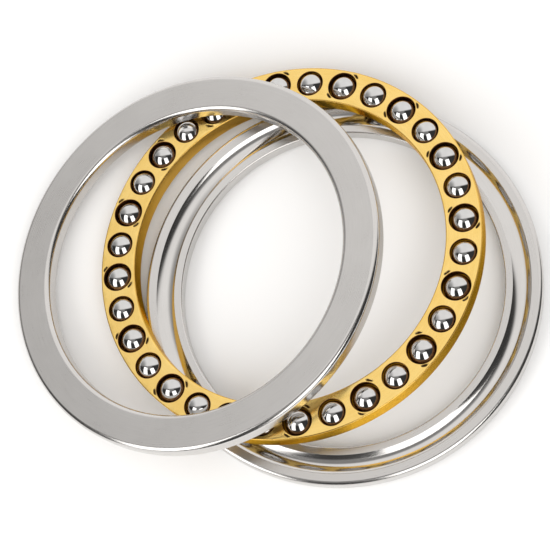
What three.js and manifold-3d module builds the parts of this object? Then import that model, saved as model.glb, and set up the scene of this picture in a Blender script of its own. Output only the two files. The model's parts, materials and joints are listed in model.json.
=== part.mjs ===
// Single-direction thrust ball bearing, taken apart and laid out for inspection.
//
// The housing washer lies flat with its raceway up. The machined brass cage, with its
// balls, leans on the rim of the housing washer. The shaft washer leans on the cage
// with its raceway down. Units are millimetres, +Z is up and Z = 0 is the bench top.

import * as THREE from 'three';
import { mergeVertices } from 'three/addons/utils/BufferGeometryUtils.js';
import Module from 'manifold-3d';

const wasm = await Module();
wasm.setup();

// ---------------------------------------------------------------- driving dimensions

const BEARING_HEIGHT = 37; // over both washers when the bearing is assembled
const WASHER_THICKNESS = 11.75;
const WASHER_CHAMFER = 2.2;
const LAND_CHAMFER = 1.0; // housing washer, edge between bore and inner land

const HOUSING_WASHER = { outerRadius: 125, boreRadius: 101.5 };
const SHAFT_WASHER = { outerRadius: 123.5, boreRadius: 100 };

const BALL_COUNT = 32;
const BALL_RADIUS = 8.731;
const PITCH_RADIUS = 112.2;
const GROOVE_RADIUS = 9.4;

const CAGE = { outerRadius: 123.1, boreRadius: 100.6, height: 11.4, chamfer: 0.6 };
const FIRST_POCKET_ANGLE = 3.9; // degrees, where ball_01 sits
const POCKET_RADIUS = 9.3;
const LIP_RADIUS = 8.5; // narrow mouth that keeps a ball from falling through its pocket
const LIP_START = 1.9; // heights above the cage's mid plane between which a pocket closes in
const LIP_END = 3.6;

const RESTING_GAP = 0.3; // between pieces that rest on each other, and on the bench

// Where each leaning ring's centre lies in plan, seen from the housing washer's centre,
// how far it leans, and the direction in which it rises.
const CAGE_LEAN = { centre: [-30, 20.8], degrees: 8.2, risesTowards: -34.7 };
const SHAFT_WASHER_LEAN = { centre: [-89.7, 16.2], degrees: 12.8, risesTowards: -18.6 };

// Facets around each turned piece.
const WASHER_SIDES = 72;
const GROOVE_STEPS = 6;
const CAGE_SIDES = 96;
const POCKET_SIDES = 16;
const BALL_SIDES = 12;
const BALL_RINGS = 8;

// ------------------------------------------------------------------------- materials

const steel = new THREE.MeshStandardMaterial({ color: 0xaeaaa6, roughness: 0.35, metalness: 1 });
const brass = new THREE.MeshStandardMaterial({ color: 0xdcb057, roughness: 0.32, metalness: 1 });
const mirror = new THREE.MeshStandardMaterial({ color: 0xc9c8c6, roughness: 0.08, metalness: 1 });

// --------------------------------------------------------------------- shape helpers

// A solid of revolution about Z from a closed outline of [radius, height] pairs, listed
// counterclockwise with the radius to the right and the height upwards.
function turned(outline, sides) {
  const closed = [...outline, outline[0]].map(([radius, height]) => new THREE.Vector2(radius, height));
  const geometry = new THREE.LatheGeometry(closed, sides);
  geometry.rotateX(Math.PI / 2);
  return welded(geometry);
}

// The same geometry with only positions, and each shared corner stored once.
function welded(geometry) {
  const bare = geometry.clone();
  bare.deleteAttribute('normal');
  bare.deleteAttribute('uv');
  return withoutSlivers(mergeVertices(bare, 1e-4));
}

// Drops the triangles that have collapsed to a line, such as those at a pole.
function withoutSlivers(geometry) {
  const index = geometry.getIndex().array;
  const kept = [];
  for (let i = 0; i < index.length; i += 3) {
    const [a, b, c] = index.slice(i, i + 3);
    if (a !== b && b !== c && c !== a) kept.push(a, b, c);
  }
  geometry.setIndex(kept);
  return geometry;
}

function toSolid(geometry) {
  const vertProperties = new Float32Array(geometry.getAttribute('position').array);
  const triVerts = new Uint32Array(geometry.getIndex().array);
  return new wasm.Manifold(new wasm.Mesh({ numProp: 3, vertProperties, triVerts }));
}

function toGeometry(solid) {
  const mesh = solid.getMesh();
  const geometry = new THREE.BufferGeometry();
  geometry.setAttribute('position', new THREE.BufferAttribute(mesh.vertProperties, 3));
  geometry.setIndex(new THREE.BufferAttribute(mesh.triVerts, 1));
  return geometry;
}

function piece(name, geometry, material) {
  const mesh = new THREE.Mesh(geometry, material);
  mesh.name = name;
  return mesh;
}

// --------------------------------------------------------------------------- washers

// Height of the raceway groove's floor above the washer's flat back face.
const GROOVE_FLOOR = BEARING_HEIGHT / 2 - BALL_RADIUS;

// The raceway's arc, from the outer land to the inner land.
function grooveArc() {
  const centreHeight = GROOVE_FLOOR + GROOVE_RADIUS;
  const edgeAngle = Math.acos((centreHeight - WASHER_THICKNESS) / GROOVE_RADIUS);
  return Array.from({ length: GROOVE_STEPS + 1 }, (_, step) => {
    const angle = edgeAngle * (1 - (2 * step) / GROOVE_STEPS);
    return [
      PITCH_RADIUS + GROOVE_RADIUS * Math.sin(angle),
      centreHeight - GROOVE_RADIUS * Math.cos(angle),
    ];
  });
}

// A washer with its back face on Z = 0 and its raceway facing up.
function washer({ outerRadius, boreRadius }, landChamfer) {
  const outline = [
    [boreRadius + WASHER_CHAMFER, 0],
    [outerRadius - WASHER_CHAMFER, 0],
    [outerRadius, WASHER_CHAMFER],
    [outerRadius, WASHER_THICKNESS - WASHER_CHAMFER],
    [outerRadius - WASHER_CHAMFER, WASHER_THICKNESS],
    ...grooveArc(),
    [boreRadius + landChamfer, WASHER_THICKNESS],
    [boreRadius, WASHER_THICKNESS - landChamfer],
    [boreRadius, WASHER_CHAMFER],
  ];
  return turned(outline, WASHER_SIDES);
}

// ------------------------------------------------------------------------------ cage

// The tool that leaves one ball pocket: straight at the open mouth, closing in towards
// the lip at the other. Its axis is Z and its centre is the ball's.
function pocketTool() {
  const past = CAGE.height / 2 + 1;
  return [
    [0, -past],
    [POCKET_RADIUS, -past],
    [POCKET_RADIUS, LIP_START],
    [LIP_RADIUS, LIP_END],
    [LIP_RADIUS, past],
    [0, past],
  ];
}

function pocketAngle(index) {
  return THREE.MathUtils.degToRad(FIRST_POCKET_ANGLE) + (2 * Math.PI * index) / BALL_COUNT;
}

// The cage centred on the origin. Balls are pressed in from alternate faces, so every
// second pocket has its lip on the other side.
function cage() {
  const { outerRadius, boreRadius, height, chamfer } = CAGE;
  const half = height / 2;
  const outline = [
    [boreRadius + chamfer, -half],
    [outerRadius - chamfer, -half],
    [outerRadius, -half + chamfer],
    [outerRadius, half - chamfer],
    [outerRadius - chamfer, half],
    [boreRadius + chamfer, half],
    [boreRadius, half - chamfer],
    [boreRadius, -half + chamfer],
  ];
  let ring = toSolid(turned(outline, CAGE_SIDES));
  for (let index = 0; index < BALL_COUNT; index += 1) {
    const tool = turned(pocketTool(), POCKET_SIDES);
    if (index % 2 === 1) tool.rotateX(Math.PI);
    tool.translate(PITCH_RADIUS, 0, 0);
    tool.rotateZ(pocketAngle(index));
    ring = ring.subtract(toSolid(tool));
  }
  return toGeometry(ring);
}

// One ball in its pocket, with its poles on the radial line about which it rolls.
function ball(index) {
  const geometry = welded(new THREE.SphereGeometry(BALL_RADIUS, BALL_SIDES, BALL_RINGS));
  geometry.rotateZ(Math.PI / 2);
  geometry.translate(PITCH_RADIUS, 0, 0);
  geometry.rotateZ(pocketAngle(index));
  return geometry;
}

// ---------------------------------------------------------------------------- layout

// A group for a ring that leans: its own Z axis tips away from the direction in which
// the ring rises, and its origin stands at the given height.
function leaning({ centre, degrees, risesTowards }, height) {
  const group = new THREE.Group();
  const rise = THREE.MathUtils.degToRad(risesTowards);
  const tiltAxis = new THREE.Vector3(Math.sin(rise), -Math.cos(rise), 0);
  group.quaternion.setFromAxisAngle(tiltAxis, THREE.MathUtils.degToRad(degrees));
  group.position.set(centre[0], centre[1], height);
  return group;
}

// Height of the cage's centre: its lowest ball just clears the bench.
function cageHeight() {
  const lean = THREE.MathUtils.degToRad(CAGE_LEAN.degrees);
  return RESTING_GAP + BALL_RADIUS + PITCH_RADIUS * Math.sin(lean);
}

// Height of the centre of the shaft washer's flat back face. The raceway faces down,
// so the lowest point is the outer edge of the land beside the raceway.
function shaftWasherHeight() {
  const lean = THREE.MathUtils.degToRad(SHAFT_WASHER_LEAN.degrees);
  const landEdge = SHAFT_WASHER.outerRadius - WASHER_CHAMFER;
  return RESTING_GAP + landEdge * Math.sin(lean) + WASHER_THICKNESS * Math.cos(lean);
}

const bearing = new THREE.Group();

bearing.add(piece('housing_washer', washer(HOUSING_WASHER, LAND_CHAMFER), steel));

const cageAndBalls = leaning(CAGE_LEAN, cageHeight());
cageAndBalls.add(piece('cage', cage(), brass));
for (let index = 0; index < BALL_COUNT; index += 1) {
  const name = `ball_${String(index + 1).padStart(2, '0')}`;
  cageAndBalls.add(piece(name, ball(index), mirror));
}
bearing.add(cageAndBalls);

const raisedWasher = leaning(SHAFT_WASHER_LEAN, shaftWasherHeight());
const shaftWasher = piece('shaft_washer', washer(SHAFT_WASHER, WASHER_CHAMFER), steel);
shaftWasher.rotation.x = Math.PI;
raisedWasher.add(shaftWasher);
bearing.add(raisedWasher);

// The origin is the middle of the whole layout, on the bench top.
const layoutBox = new THREE.Box3().setFromObject(bearing, true);
const layoutCentre = layoutBox.getCenter(new THREE.Vector3());
bearing.position.set(-layoutCentre.x, -layoutCentre.y, 0);

export default bearing;
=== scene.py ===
"""Looks of a thrust ball bearing that is laid out apart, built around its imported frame."""

import json
import math

import bmesh
import bpy
from mathutils import Matrix, Vector


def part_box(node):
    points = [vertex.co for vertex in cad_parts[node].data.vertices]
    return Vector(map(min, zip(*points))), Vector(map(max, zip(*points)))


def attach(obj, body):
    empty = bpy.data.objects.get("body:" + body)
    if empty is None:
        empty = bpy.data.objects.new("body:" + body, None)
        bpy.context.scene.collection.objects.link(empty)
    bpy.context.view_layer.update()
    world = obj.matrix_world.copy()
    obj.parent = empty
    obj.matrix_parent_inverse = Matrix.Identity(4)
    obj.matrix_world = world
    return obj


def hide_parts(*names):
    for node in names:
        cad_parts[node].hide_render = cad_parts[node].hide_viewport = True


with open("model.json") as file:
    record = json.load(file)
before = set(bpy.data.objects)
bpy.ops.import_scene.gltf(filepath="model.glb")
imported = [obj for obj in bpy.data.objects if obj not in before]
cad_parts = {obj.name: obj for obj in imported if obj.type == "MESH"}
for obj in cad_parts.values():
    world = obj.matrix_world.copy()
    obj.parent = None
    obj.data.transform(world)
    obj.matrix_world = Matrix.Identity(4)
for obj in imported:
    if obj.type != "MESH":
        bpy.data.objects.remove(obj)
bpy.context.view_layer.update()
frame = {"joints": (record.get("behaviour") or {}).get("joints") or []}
JOINTS = {joint["name"]: joint for joint in frame["joints"]}

MM = 0.001

# ------------------------------------------------------------------ driving dimensions

WASHER_THICKNESS = 11.75 * MM
HOUSING_OUTER = 125 * MM
HOUSING_BORE = 101.5 * MM
SHAFT_OUTER = 123.5 * MM
SHAFT_BORE = 100 * MM
CORNER = 2.55 * MM  # rounded edges beside the washers' lands
BACK_CORNER = 3.0 * MM  # rounded edges beside their flat back faces
SMALL_CORNER = 1.0 * MM  # housing washer, between its bore and the inner land
LAND_EDGE = 0.22 * MM  # where a land meets the raceway

BALL_COUNT = 32
BALL_RADIUS = 8.731 * MM
PITCH_RADIUS = 112.2 * MM
BEARING_HEIGHT = 37 * MM
GROOVE_RADIUS = 9.4 * MM

CAGE_OUTER = 123.1 * MM
CAGE_BORE = 100.6 * MM
CAGE_HEIGHT = 11.4 * MM
CAGE_CORNER = 0.65 * MM
POCKET_RADIUS = 9.25 * MM
LIP_RADIUS = 8.45 * MM
LIP_START = 1.9 * MM
LIP_END = 3.4 * MM
POCKET_CORNER = 0.22 * MM

# Two marks pressed in beside each open pocket mouth, to hold its ball.
STAKE_ANGLES = (math.radians(-40), math.radians(140))
STAKE_DISTANCE = 1.35 * MM
STAKE_HALF_LENGTH = 1.7 * MM
STAKE_HALF_WIDTH = 0.5 * MM
STAKE_DEPTH = 0.75 * MM

FACE, WALL, RACEWAY, EDGE = range(4)  # material slots of a washer
CAGE_FACE, CAGE_WALL, POCKET_WALL = range(3)  # material slots of the cage

# ------------------------------------------------------------------------ mesh helpers


def new_object(name, mesh, materials):
    """A piece that shows mesh, at the origin."""
    for material in materials:
        mesh.materials.append(material)
    piece = bpy.data.objects.new(name, mesh)
    bpy.context.scene.collection.objects.link(piece)
    return piece


def store(mesh, name, vectors):
    """Keeps one vector for each vertex, for the materials to read."""
    attribute = mesh.attributes.new(name, "FLOAT_VECTOR", "POINT")
    attribute.data.foreach_set("vector", [c for vector in vectors for c in vector])


def settle(mesh, matrix):
    """Moves a ring's mesh from its own frame to its place in the layout.

    Every vertex keeps its place in the ring's own frame, and the direction of the
    ring's lay, which runs around its axis.
    """
    places = [vert.co.copy() for vert in mesh.vertices]
    turn = matrix.to_3x3()
    store(mesh, "ring_place", places)
    store(mesh, "ring_lay", [turn @ Vector((-p.y, p.x, 0)).normalized() for p in places])
    mesh.transform(matrix)


def mesh_from(name, verts, faces, zones):
    """A smooth-shaded closed mesh whose faces point out; zones are material slots."""
    mesh = bpy.data.meshes.new(name)
    mesh.from_pydata(verts, [], faces)
    mesh.polygons.foreach_set("material_index", zones)
    work = bmesh.new()
    work.from_mesh(mesh)
    bmesh.ops.remove_doubles(work, verts=work.verts, dist=1e-7)
    bmesh.ops.recalc_face_normals(work, faces=work.faces)
    for face in work.faces:
        face.smooth = True
    work.to_mesh(mesh)
    work.free()
    return mesh


HOLD = 0.12 * MM  # from a rounding to the point that keeps the flat beside it flat
BROKEN_EDGE = 0.3 * MM  # roundings up to this take the finish of the flat before them


def rounded(corners, steps):
    """Points of a closed outline whose corners are rounded.

    corners lists (radius, height, rounding, zone); zone belongs to the edge that starts
    at that corner. A wide rounding is an EDGE.
    """
    points = []
    count = len(corners)
    for i, (r, z, rounding, zone) in enumerate(corners):
        here = Vector((r, z))
        before = Vector(corners[i - 1][:2])
        after = Vector(corners[(i + 1) % count][:2])
        zone_before = corners[i - 1][3]
        to_before = (before - here).normalized()
        to_after = (after - here).normalized()
        if rounding == 0:
            points.append((r, z, zone))
            continue
        half = to_before.angle(to_after) / 2
        reach = rounding / math.tan(half)
        centre = here + (to_before + to_after).normalized() * (rounding / math.sin(half))
        start = here + to_before * reach
        end = here + to_after * reach
        held = start + to_before * HOLD
        points.append((held.x, held.y, zone_before))
        corner_zone = EDGE if rounding > BROKEN_EDGE else zone_before
        first = start - centre
        swing = first.angle_signed(end - centre)
        for step in range(steps + 1):
            arm = first.copy()
            arm.rotate(Matrix.Rotation(-swing * step / steps, 2))
            at_end = step == steps
            points.append((*(centre + arm), zone if at_end else corner_zone))
        held = end + to_after * HOLD
        points.append((held.x, held.y, zone))
    return points


def revolved(name, outline, sides):
    """A closed ring turned about Z from outline points (radius, height, zone)."""
    count = len(outline)
    verts = []
    for side in range(sides):
        angle = 2 * math.pi * side / sides
        c, s = math.cos(angle), math.sin(angle)
        verts += [(r * c, r * s, z) for r, z, _ in outline]
    faces, zones = [], []
    for side in range(sides):
        here, there = side * count, (side + 1) % sides * count
        for i in range(count):
            j = (i + 1) % count
            faces.append((here + i, there + i, there + j, here + j))
            zones.append(outline[i][2])
    return mesh_from(name, verts, faces, zones)


# ---------------------------------------------------------------------------- washers

WASHER_SIDES = 384
GROOVE_STEPS = 24
WASHER_CORNER_STEPS = 8


def groove_points():
    """The raceway's arc from the outer land to the inner land."""
    floor = BEARING_HEIGHT / 2 - BALL_RADIUS
    centre = floor + GROOVE_RADIUS
    edge = math.acos((centre - WASHER_THICKNESS) / GROOVE_RADIUS)
    for step in range(GROOVE_STEPS + 1):
        angle = edge * (1 - 2 * step / GROOVE_STEPS)
        r = PITCH_RADIUS + GROOVE_RADIUS * math.sin(angle)
        yield r, centre - GROOVE_RADIUS * math.cos(angle)


def washer_outline(outer, bore, land_corner):
    """Corners of a washer's section, back face on Z = 0, raceway up."""
    groove = list(groove_points())
    raceway = [(r, z, 0, RACEWAY) for r, z in groove[1:-1]]
    corners = [
        (bore, 0, BACK_CORNER, FACE),
        (outer, 0, BACK_CORNER, WALL),
        (outer, WASHER_THICKNESS, CORNER, FACE),
        (*groove[0], LAND_EDGE, RACEWAY),
        *raceway,
        (*groove[-1], LAND_EDGE, FACE),
        (bore, WASHER_THICKNESS, land_corner, WALL),
    ]
    return rounded(corners, WASHER_CORNER_STEPS)


# ------------------------------------------------------------------------------- cage

ARC_STEPS = 18  # facets of one sector's outer and inner arcs
SIDE_STEPS = 18  # facets of one sector's straight sides
RIM_STEPS = 5  # facets of the rounded edges of the cage's rim and bore
CORNER_STEPS = 4  # facets of a pocket's rounded mouth
LIP_STEPS = 4  # facets from a pocket's straight wall to its lip
LIP_BOW = 0.12 * MM  # how far that stretch bows outwards

# Distances of the loops around a pocket's mouth, outside its rounded corner.
MOUTH_LOOPS = [d * MM for d in (0.1, 0.35, 0.6, 0.8, 1.0, 1.2, 1.4, 1.6, 1.8, 2.1, 2.5)]


def sector_edge(inner, outer):
    """Plan outline of one pocket's sector, counterclockwise from its first corner."""
    half = math.pi / BALL_COUNT
    polar = [(outer, half * (2 * i / ARC_STEPS - 1)) for i in range(ARC_STEPS)]
    polar += [
        (outer + (inner - outer) * i / SIDE_STEPS, half) for i in range(SIDE_STEPS)
    ]
    polar += [(inner, half * (1 - 2 * i / ARC_STEPS)) for i in range(ARC_STEPS)]
    polar += [
        (inner + (outer - inner) * i / SIDE_STEPS, -half) for i in range(SIDE_STEPS)
    ]
    return [(r * math.cos(a), r * math.sin(a)) for r, a in polar]


def quarter_round(corner, steps):
    """A rounded edge from face to wall: distances out from the wall, down from the face."""
    for step in range(steps + 1):
        angle = math.pi / 2 * step / steps
        yield corner * (1 - math.sin(angle)), corner * (1 - math.cos(angle))


def pocket_profile():
    """Radius and height down one pocket, from its open mouth to its lipped mouth."""
    top = CAGE_HEIGHT / 2
    mouth = list(quarter_round(POCKET_CORNER, CORNER_STEPS))
    points = [(POCKET_RADIUS + out, top - down) for out, down in mouth]
    points += [(POCKET_RADIUS, 0), (POCKET_RADIUS, -LIP_START)]
    for step in range(1, LIP_STEPS):
        share = step / LIP_STEPS
        bow = LIP_BOW * math.sin(math.pi * share)
        r = POCKET_RADIUS + (LIP_RADIUS - POCKET_RADIUS) * share + bow
        points.append((r, -LIP_START - (LIP_END - LIP_START) * share))
    points.append((LIP_RADIUS, -LIP_END))
    return points + [(LIP_RADIUS + out, -top + down) for out, down in reversed(mouth)]


def stake_depth(distance, angle, open_mouth):
    """How far a stake mark presses the face down, beside an open pocket mouth."""
    if not open_mouth:
        return 0.0
    depth = 0.0
    for centre in STAKE_ANGLES:
        turn = (angle - centre + math.pi) % (2 * math.pi) - math.pi
        along = turn * (POCKET_RADIUS + distance) / STAKE_HALF_LENGTH
        across = (distance - STAKE_DISTANCE) / STAKE_HALF_WIDTH
        depth += STAKE_DEPTH * math.exp(-(along**4) - across**2)
    return depth


def face_rings(mouth_radius, edge, open_mouth, level):
    """Loops of points from a pocket's mouth out to the sector's edge, on one face."""
    rings = []
    for distance in MOUTH_LOOPS:
        ring = []
        for x, y in edge:
            offset = Vector((x - PITCH_RADIUS, y))
            room = offset.length - mouth_radius - POCKET_CORNER
            angle = math.atan2(offset.y, offset.x)
            step = min(distance, room * (distance / MOUTH_LOOPS[-1]) * 0.85)
            reach = mouth_radius + POCKET_CORNER + step
            drop = stake_depth(step + POCKET_CORNER, angle, open_mouth)
            spot = offset.normalized() * reach
            ring.append((PITCH_RADIUS + spot.x, spot.y, level - math.copysign(drop, level)))
        rings.append(ring)
    rings.append([(x, y, level) for x, y in edge])
    return rings


def sector(flipped):
    """One pocket with its share of the ring: points, faces and zones."""
    top = CAGE_HEIGHT / 2
    edge = sector_edge(CAGE_BORE + CAGE_CORNER, CAGE_OUTER - CAGE_CORNER)
    profile = pocket_profile()
    if flipped:
        profile = [(r, -z) for r, z in reversed(profile)]
    sides = len(edge)
    angles = [math.atan2(y, x - PITCH_RADIUS) for x, y in edge]

    upper_mouth, lower_mouth = (LIP_RADIUS, POCKET_RADIUS) if flipped else (
        POCKET_RADIUS, LIP_RADIUS)
    loops = list(reversed(face_rings(upper_mouth, edge, not flipped, top)))
    zones = [CAGE_FACE] * len(loops)
    for r, z in profile:
        ring = [
            (PITCH_RADIUS + r * math.cos(a), r * math.sin(a), z) for a in angles
        ]
        loops.append(ring)
        zones.append(POCKET_WALL)
    zones[-1] = CAGE_FACE
    below = face_rings(lower_mouth, edge, flipped, -top)
    loops += below
    zones += [CAGE_FACE] * (len(below) - 1)

    verts = [point for loop in loops for point in loop]
    faces, face_zones = [], []
    for i in range(len(loops) - 1):
        for j in range(sides):
            k = (j + 1) % sides
            faces.append((i * sides + j, i * sides + k, (i + 1) * sides + k, (i + 1) * sides + j))
            face_zones.append(zones[i])
    return verts, faces, face_zones


def cage_rim(radius, outward):
    """Points of the cage's rounded outer rim or bore, from its top face to its bottom."""
    top = CAGE_HEIGHT / 2
    rounding = quarter_round(CAGE_CORNER, RIM_STEPS)
    half = [(radius - outward * out, top - down) for out, down in rounding]
    half.append((radius, top - CAGE_CORNER - HOLD))
    return half + [(r, -z) for r, z in reversed(half)]


def cage_mesh():
    """The whole cage: pocket sectors that alternate, closed by the rim and the bore."""
    verts, faces, zones = [], [], []

    def add(points, polygons, polygon_zones):
        base = len(verts)
        verts.extend(points)
        faces.extend(tuple(base + i for i in polygon) for polygon in polygons)
        zones.extend(polygon_zones)

    for flipped in (False, True):
        points, polygons, polygon_zones = sector(flipped)
        for index in range(int(flipped), BALL_COUNT, 2):
            angle = 2 * math.pi * index / BALL_COUNT
            c, s = math.cos(angle), math.sin(angle)
            turned = [(x * c - y * s, x * s + y * c, z) for x, y, z in points]
            add(turned, polygons, polygon_zones)

    around = BALL_COUNT * ARC_STEPS
    for radius, outward in ((CAGE_OUTER, 1), (CAGE_BORE, -1)):
        rim = cage_rim(radius, outward)
        points = []
        for side in range(around):
            angle = 2 * math.pi * side / around - math.pi / BALL_COUNT
            points += [(r * math.cos(angle), r * math.sin(angle), z) for r, z in rim]
        polygons = []
        for side in range(around):
            here, there = side * len(rim), (side + 1) % around * len(rim)
            for i in range(len(rim) - 1):
                polygons.append((here + i, there + i, there + i + 1, here + i + 1))
        add(points, polygons, [CAGE_WALL] * len(polygons))
    return mesh_from("cage_fine", verts, faces, zones)


# ------------------------------------------------------------------------------ balls

BALL_CUTS = 26  # squares along each side of the cube that is blown up into a ball


def ball_mesh():
    """A sphere from a subdivided cube, so that its facets are all about one size."""
    work = bmesh.new()
    bmesh.ops.create_cube(work, size=2)
    bmesh.ops.subdivide_edges(work, edges=work.edges, cuts=BALL_CUTS - 1, use_grid_fill=True)
    for vert in work.verts:
        spread = Vector([math.tan(c * math.pi / 4) for c in vert.co])
        vert.co = spread.normalized() * BALL_RADIUS
    bmesh.ops.recalc_face_normals(work, faces=work.faces)
    for face in work.faces:
        face.smooth = True
    mesh = bpy.data.meshes.new("ball_fine")
    work.to_mesh(mesh)
    work.free()
    return mesh


# -------------------------------------------------------------------------- materials


class Graph:
    """A node material with a Principled shader, and short calls to add nodes to it."""

    def __init__(self, name):
        self.material = bpy.data.materials.new(name)
        self.material.use_nodes = True
        self.tree = self.material.node_tree
        self.shader = self.tree.nodes["Principled BSDF"]

    def node(self, kind, **settings):
        """Adds a node of the given kind, with the given properties."""
        node = self.tree.nodes.new(kind)
        for key, value in settings.items():
            setattr(node, key, value)
        return node

    def link(self, source, target):
        self.tree.links.new(source, target)

    def math(self, operation, a, b=0.5):
        """Combines two values, each a number or a socket."""
        node = self.node("ShaderNodeMath", operation=operation)
        for socket, value in zip(node.inputs, (a, b)):
            if isinstance(value, (int, float)):
                socket.default_value = value
            else:
                self.link(value, socket)
        return node.outputs[0]

    def ring_coordinates(self):
        """Unit direction (x, y), radius and height in the ring's own frame, in metres."""
        place = self.node("ShaderNodeAttribute", attribute_name="ring_place")
        split = self.node("ShaderNodeSeparateXYZ")
        self.link(place.outputs["Vector"], split.inputs[0])
        x, y, z = split.outputs
        squares = self.math("ADD", self.math("MULTIPLY", x, x), self.math("MULTIPLY", y, y))
        radius = self.math("SQRT", squares)
        return self.math("DIVIDE", x, radius), self.math("DIVIDE", y, radius), radius, z

    def lay(self, around, across, detail=3.0):
        """Noise drawn out around the ring, as turning and grinding leave it.

        around is the number of patches per radian and across the number per metre.
        """
        x, y, radius, z = self.ring_coordinates()
        spot = self.node("ShaderNodeCombineXYZ")
        self.link(self.math("MULTIPLY", x, around), spot.inputs[0])
        self.link(self.math("MULTIPLY", y, around), spot.inputs[1])
        self.link(self.math("MULTIPLY", z, across), spot.inputs[2])
        noise = self.node("ShaderNodeTexNoise", noise_dimensions="4D")
        noise.inputs["Scale"].default_value = 1
        noise.inputs["Detail"].default_value = detail
        self.link(spot.outputs[0], noise.inputs["Vector"])
        self.link(self.math("MULTIPLY", radius, across), noise.inputs["W"])
        return noise.outputs["Fac"]

    def cloud(self, scale, detail=4.0):
        """Plain noise over the piece; scale is patches per metre."""
        place = self.node("ShaderNodeTexCoord").outputs["Object"]
        noise = self.node("ShaderNodeTexNoise")
        noise.inputs["Scale"].default_value = scale
        noise.inputs["Detail"].default_value = detail
        self.link(place, noise.inputs["Vector"])
        return noise.outputs["Fac"]

    def spread(self, value, low, high):
        """Maps the middle of a noise's range to low..high."""
        node = self.node("ShaderNodeMapRange", clamp=True)
        self.link(value, node.inputs["Value"])
        node.inputs["From Min"].default_value = 0.3
        node.inputs["From Max"].default_value = 0.7
        node.inputs["To Min"].default_value = low
        node.inputs["To Max"].default_value = high
        return node.outputs[0]

    def tint(self, value, first, second):
        """Mixes two colours by a value from 0 to 1."""
        node = self.node("ShaderNodeMix", data_type="RGBA")
        self.link(value, node.inputs["Factor"])
        node.inputs[6].default_value = (*first, 1)
        node.inputs[7].default_value = (*second, 1)
        return node.outputs[2]

    def sunk(self, colour, level, shade_colour):
        """Paints shade over what lies below the faces at plus and minus the given height."""
        height = self.math("ABSOLUTE", self.ring_coordinates()[3])
        node = self.node("ShaderNodeMapRange", clamp=True)
        self.link(height, node.inputs["Value"])
        node.inputs["From Min"].default_value = level - MARK_FULL
        node.inputs["From Max"].default_value = level - MARK_SHADE_START
        node.inputs["To Min"].default_value = MARK_COVER
        node.inputs["To Max"].default_value = 0.0
        mix = self.node("ShaderNodeMix", data_type="RGBA")
        self.link(node.outputs[0], mix.inputs["Factor"])
        self.link(colour, mix.inputs[6])
        mix.inputs[7].default_value = (*shade_colour, 1)
        return mix.outputs[2]

    def bump(self, height, strength, distance):
        node = self.node("ShaderNodeBump")
        node.inputs["Strength"].default_value = strength
        node.inputs["Distance"].default_value = distance
        self.link(height, node.inputs["Height"])
        self.link(node.outputs[0], self.shader.inputs["Normal"])

    def anisotropic(self, amount):
        """Highlights drawn across the lay, which runs around the ring's axis."""
        self.shader.inputs["Anisotropic"].default_value = amount
        lay = self.node("ShaderNodeAttribute", attribute_name="ring_lay")
        turned = self.node("ShaderNodeVectorTransform", vector_type="VECTOR")
        turned.convert_from, turned.convert_to = "OBJECT", "WORLD"
        self.link(lay.outputs["Vector"], turned.inputs[0])
        self.link(turned.outputs[0], self.shader.inputs["Tangent"])

    def metal(self, roughness, colour):
        """Makes the piece bare metal, with its roughness and colour from two sockets."""
        self.shader.inputs["Metallic"].default_value = 1.0
        self.link(roughness, self.shader.inputs["Roughness"])
        self.link(colour, self.shader.inputs["Base Color"])


STEEL_LIGHT = (0.66, 0.645, 0.63)
STEEL_DARK = (0.585, 0.57, 0.555)
STEEL_RELIEF = 0.02 * MM


def steel(name, roughness, around, across, bump, anisotropy):
    """Bearing steel whose finish runs around the ring."""
    graph = Graph(name)
    streaks = graph.lay(around, across)
    patches = graph.cloud(scale=38)
    mixed = graph.math(
        "ADD", graph.math("MULTIPLY", patches, 0.5), graph.math("MULTIPLY", streaks, 0.5)
    )
    colour = graph.tint(graph.spread(mixed, 0.0, 1.0), STEEL_DARK, STEEL_LIGHT)
    rough = graph.spread(mixed, roughness * 0.82, roughness * 1.18)
    graph.metal(rough, colour)
    graph.bump(streaks, bump, STEEL_RELIEF)
    graph.anisotropic(anisotropy)
    return graph.material


def washer_materials():
    """Ground face, turned wall, honed raceway and tumbled edge, in slot order."""
    return [
        steel("steel_ground_face", roughness=0.30, around=9, across=2600, bump=0.2, anisotropy=0.35),
        steel("steel_turned_wall", roughness=0.24, around=7, across=4200, bump=0.45, anisotropy=0.55),
        steel("steel_honed_raceway", roughness=0.14, around=12, across=5200, bump=0.12, anisotropy=0.3),
        steel("steel_tumbled_edge", roughness=0.17, around=9, across=3000, bump=0.25, anisotropy=0.3),
    ]


# Darker and lighter colour of each brass finish.
BRASS_FACE_COLOURS = (0.86, 0.575, 0.16), (0.92, 0.67, 0.24)
# Partly painted shade: the turned rim and bore have their real turned finish, but take a darker, deeper
# copy of the face's brass colour for their shaded sides.
BRASS_WALL_SHADED_COLOURS = (0.66, 0.40, 0.09), (0.80, 0.51, 0.13)
# Painted shade: the pocket walls' brass is darkened to near brown-black to stand for the shadow inside
# the pockets.
BRASS_POCKET_SHADE_COLOURS = (0.22, 0.10, 0.05), (0.50, 0.27, 0.10)
BRASS_GRAZING = (0.95, 0.68, 0.25)  # at a grazing angle
BRASS_RELIEF = 0.03 * MM
BRASS_ANISOTROPY = 0.3

# Painted shade in the stake marks: what is sunk below the cage's faces is darkened towards this colour.
MARK_SHADE = (0.05, 0.025, 0.01)
MARK_SHADE_START = 0.03 * MM  # how far below the face the painted shade starts
MARK_FULL = 0.22 * MM  # and where it covers most of the metal
MARK_COVER = 0.97


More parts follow.
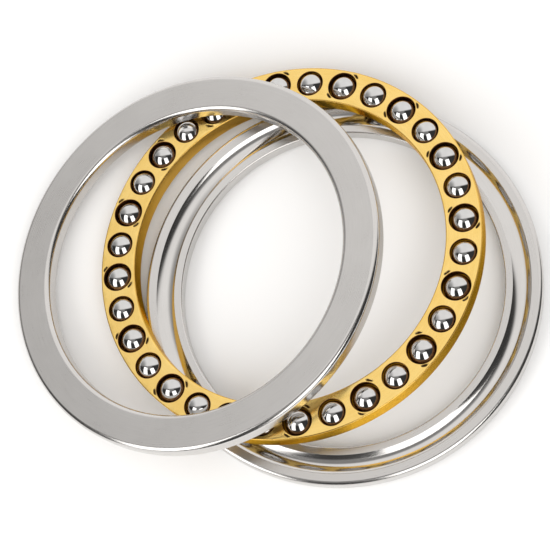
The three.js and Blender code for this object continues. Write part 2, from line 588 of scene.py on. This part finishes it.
def brass(name, roughness, around, across, bump, colours, shaded_marks=False):
    """Machined brass; with the flag set, what is sunk into the flat faces is painted dark as shade."""
    graph = Graph(name)
    streaks = graph.lay(around, across)
    patches = graph.cloud(scale=55, detail=6)
    mixed = graph.math(
        "ADD", graph.math("MULTIPLY", patches, 0.6), graph.math("MULTIPLY", streaks, 0.4)
    )
    colour = graph.tint(graph.spread(mixed, 0.0, 1.0), *colours)
    # Painted shade in the stake marks sunk into the faces.
    if shaded_marks:
        colour = graph.sunk(colour, CAGE_HEIGHT / 2, MARK_SHADE)
    rough = graph.spread(mixed, roughness * 1.15, roughness * 0.85)
    graph.metal(rough, colour)
    graph.shader.inputs["Specular Tint"].default_value = (*BRASS_GRAZING, 1)
    graph.bump(streaks, bump, BRASS_RELIEF)
    graph.anisotropic(BRASS_ANISOTROPY)
    return graph.material


def cage_materials():
    """Lapped face with painted shade in its stake marks, turned rim and bore in brass darkened as
    painted shade, and bored pocket wall painted dark as shade, in slot order.
    """
    return [
        brass("brass_lapped_face", 0.22, 10, 900, 0.12, BRASS_FACE_COLOURS, shaded_marks=True),
        brass("brass_turned_wall_shaded", 0.22, 6, 2400, 0.35, BRASS_WALL_SHADED_COLOURS),
        brass("brass_bored_pocket_painted_shade", 0.34, 10, 2800, 0.4, BRASS_POCKET_SHADE_COLOURS),
    ]


BALL_DARK = (0.60, 0.595, 0.59)
BALL_LIGHT = (0.66, 0.655, 0.65)
BALL_RELIEF = 0.01 * MM


def ball_material():
    """Mirror-lapped bearing steel with the faintest haze."""
    graph = Graph("steel_mirror_ball")
    haze = graph.cloud(scale=420, detail=5)
    rough = graph.spread(haze, 0.022, 0.05)
    colour = graph.tint(graph.spread(graph.cloud(scale=160), 0.0, 1.0), BALL_DARK, BALL_LIGHT)
    graph.metal(rough, colour)
    graph.bump(haze, 0.04, BALL_RELIEF)
    return graph.material


# ----------------------------------------------------------------------- the assembly


def upright(origin, axis, first=(1, 0, 0)):
    """Matrix of a ring's frame: Z along axis, X along first as nearly as that allows."""
    z = Vector(axis).normalized()
    x = Vector(first)
    x = (x - z * x.dot(z)).normalized()
    y = z.cross(x)
    turn = Matrix((x, y, z)).transposed().to_4x4()
    return Matrix.Translation(Vector(origin)) @ turn


def finish_piece(piece, body, node):
    """Says which body a piece rides on, which CAD node it replaces."""
    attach(piece, body)
    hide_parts(node)


def build_washers():
    materials = washer_materials()
    low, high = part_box("housing_washer")
    seat = Vector(((low.x + high.x) / 2, (low.y + high.y) / 2, low.z))
    outline = washer_outline(HOUSING_OUTER, HOUSING_BORE, SMALL_CORNER)
    mesh = revolved("housing_washer_fine", outline, WASHER_SIDES)
    settle(mesh, upright(seat, (0, 0, 1)))
    piece = new_object("housing_washer_ring", mesh, materials)
    finish_piece(piece, "housing_washer", "housing_washer")

    spin = JOINTS["shaft_washer_spin"]
    downward = -Vector(spin["axis"])
    outline = washer_outline(SHAFT_OUTER, SHAFT_BORE, CORNER)
    mesh = revolved("shaft_washer_fine", outline, WASHER_SIDES)
    settle(mesh, upright(spin["pos_m"], downward))
    piece = new_object("shaft_washer_ring", mesh, materials)
    finish_piece(piece, "shaft_washer", "shaft_washer")


def build_cage():
    spin = JOINTS["cage_spin"]
    first_ball = JOINTS["ball_01_roll"]["axis"]
    mesh = cage_mesh()
    settle(mesh, upright(spin["pos_m"], spin["axis"], first_ball))
    piece = new_object("cage_ring", mesh, cage_materials())
    finish_piece(piece, "cage", "cage")


def build_balls():
    mesh = ball_mesh()
    mesh.materials.append(ball_material())
    for index in range(BALL_COUNT):
        name = f"ball_{index + 1:02d}"
        piece = new_object(f"{name}_mirror", mesh, [])
        piece.location = JOINTS[f"{name}_roll"]["pos_m"]
        finish_piece(piece, name, name)


# ------------------------------------------------------------------------- the studio

CAMERA_AZIMUTH = 32.0
CAMERA_ELEVATION = 70.5
CAMERA_ROLL = 34.0
CAMERA_DISTANCE = 1.250
CAMERA_LENS = 130.9
CAMERA_AIM = Vector((0.0015, -0.0004, 0.015))


def view_axes():
    """Right, up and back of the camera, as unit vectors."""
    a, e = math.radians(CAMERA_AZIMUTH), math.radians(CAMERA_ELEVATION)
    back = Vector((math.sin(a) * math.cos(e), -math.cos(a) * math.cos(e), math.sin(e)))
    right = Vector((0, 0, 1)).cross(back).normalized()
    turn = Matrix.Rotation(math.radians(-CAMERA_ROLL), 3, back)
    right = turn @ right
    return right, back.cross(right), back


def make_camera():
    right, up, back = view_axes()
    camera = bpy.data.objects.new("camera", bpy.data.cameras.new("camera"))
    bpy.context.scene.collection.objects.link(camera)
    camera.data.lens = CAMERA_LENS
    camera.data.sensor_width = 36
    camera.data.clip_start, camera.data.clip_end = 0.05, 50
    turn = Matrix((right, up, back)).transposed().to_4x4()
    camera.matrix_world = Matrix.Translation(CAMERA_AIM + back * CAMERA_DISTANCE) @ turn
    bpy.context.scene.camera = camera


FLOOR_RADIUS = 6.0


def make_floor():
    """A round, plain pale floor."""
    mesh = bpy.data.meshes.new("floor")
    work = bmesh.new()
    bmesh.ops.create_circle(work, cap_ends=True, segments=96, radius=FLOOR_RADIUS)
    work.to_mesh(mesh)
    work.free()
    material = bpy.data.materials.new("floor_white")
    material.use_nodes = True
    shader = material.node_tree.nodes["Principled BSDF"]
    shader.inputs["Base Color"].default_value = (0.9, 0.9, 0.9, 1)
    shader.inputs["Roughness"].default_value = 0.7
    shader.inputs["Specular IOR Level"].default_value = 0.2
    floor = new_object("floor", mesh, [material])


DOME = 1.10  # brightness of the studio's pale overhead tent
DOME_LEFT = 0.36  # where it falls off to the left
BOOTH = 0.05  # and of the dark front, where the lamps stand
BOOTH_MIDDLE = 0.30  # between the lamps
FLOOR_FILL = 0.85  # brightness of the even light that only the floor gathers
STUDIO_WHITE = (1.0, 0.985, 0.97, 1)

# Between which cosines to the named direction each part of the studio gives way.
TENT_SPAN = (-0.95, -0.48)
BOOTH_SPAN = (0.88, 0.96)
FRONT_SPAN = (0.28, 0.46)


def make_world():
    """A pale tent overhead and behind, and a dark front towards the viewer's side."""
    right, up, back = view_axes()
    world = bpy.data.worlds.new("studio")
    bpy.context.scene.world = world
    world.use_nodes = True
    world.cycles.sampling_method = "NONE"
    tree = world.node_tree
    nodes, links = tree.nodes, tree.links
    background = nodes["Background"]
    place = nodes.new("ShaderNodeTexCoord").outputs["Generated"]

    def feed(socket, value):
        if isinstance(value, bpy.types.NodeSocket):
            links.new(value, socket)
        else:
            socket.default_value = value

    def along(axis):
        node = nodes.new("ShaderNodeVectorMath")
        node.operation = "DOT_PRODUCT"
        node.inputs[1].default_value = axis.normalized()
        links.new(place, node.inputs[0])
        return node.outputs["Value"]

    def ramp(value, span, strengths):
        node = nodes.new("ShaderNodeMapRange")
        node.interpolation_type = "SMOOTHSTEP"
        links.new(value, node.inputs["Value"])
        node.inputs["From Min"].default_value, node.inputs["From Max"].default_value = span
        feed(node.inputs["To Min"], strengths[0])
        feed(node.inputs["To Max"], strengths[1])
        return node.outputs[0]

    def choose(factor, first, second):
        node = nodes.new("ShaderNodeMix")
        links.new(factor, node.inputs["Factor"])
        feed(node.inputs["A"], first)
        feed(node.inputs["B"], second)
        return node.outputs["Result"]

    tent = ramp(along(right), TENT_SPAN, (DOME_LEFT, DOME))
    booth = ramp(along(back - right * 0.3 + up * 0.2), BOOTH_SPAN, (BOOTH, BOOTH_MIDDLE))
    studio = ramp(along(up - right * 0.15), FRONT_SPAN, (booth, tent))
    ray = nodes.new("ShaderNodeLightPath")
    lit = choose(ray.outputs["Is Diffuse Ray"], studio, FLOOR_FILL)
    seen = choose(ray.outputs["Is Camera Ray"], lit, 1.0)
    links.new(seen, background.inputs["Strength"])
    background.inputs["Color"].default_value = STUDIO_WHITE


LAMP_DISTANCE = 3.0
LAMP_WIDTH_ANGLE = 31
LAMP_HEIGHT_ANGLE = 56
LAMP_RADIANCE = 2.3
LAMP_WHITE = (1.0, 0.99, 0.975)
# Each lamp's direction, in degrees below and to the right of the way to the camera,
# and how far it leans over.
LAMPS = {"window_right": (26, 13, 24), "window_left": (31, -47, -16)}


def make_lamps():
    """Two tall window-like softboxes side by side, low in front of the rings."""
    right, up, back = view_axes()
    width = 2 * LAMP_DISTANCE * math.tan(math.radians(LAMP_WIDTH_ANGLE / 2))
    height = 2 * LAMP_DISTANCE * math.tan(math.radians(LAMP_HEIGHT_ANGLE / 2))
    for name, (down, side, lean) in LAMPS.items():
        data = bpy.data.lights.new(name, "AREA")
        data.shape = "RECTANGLE"
        data.size, data.size_y = width, height
        data.energy = LAMP_RADIANCE * math.pi * width * height
        data.color = LAMP_WHITE
        downward, sideways = math.radians(down), math.radians(side)
        towards = back * math.cos(downward) - up * math.sin(downward)
        towards = towards * math.cos(sideways) + right * math.sin(sideways)
        x = up.cross(towards).normalized()
        turn = Matrix((x, towards.cross(x), towards)).transposed().to_4x4()
        lamp = bpy.data.objects.new(name, data)
        bpy.context.scene.collection.objects.link(lamp)
        spin = Matrix.Rotation(math.radians(lean), 4, "Z")
        lamp.matrix_world = Matrix.Translation(towards * LAMP_DISTANCE) @ turn @ spin
        lamp.visible_camera = False


def make_studio():
    make_camera()
    make_floor()
    make_world()
    make_lamps()
    scene = bpy.context.scene
    scene.view_settings.view_transform = "Standard"
    scene.cycles.use_denoising = True


build_washers()
build_cage()
build_balls()
make_studio()
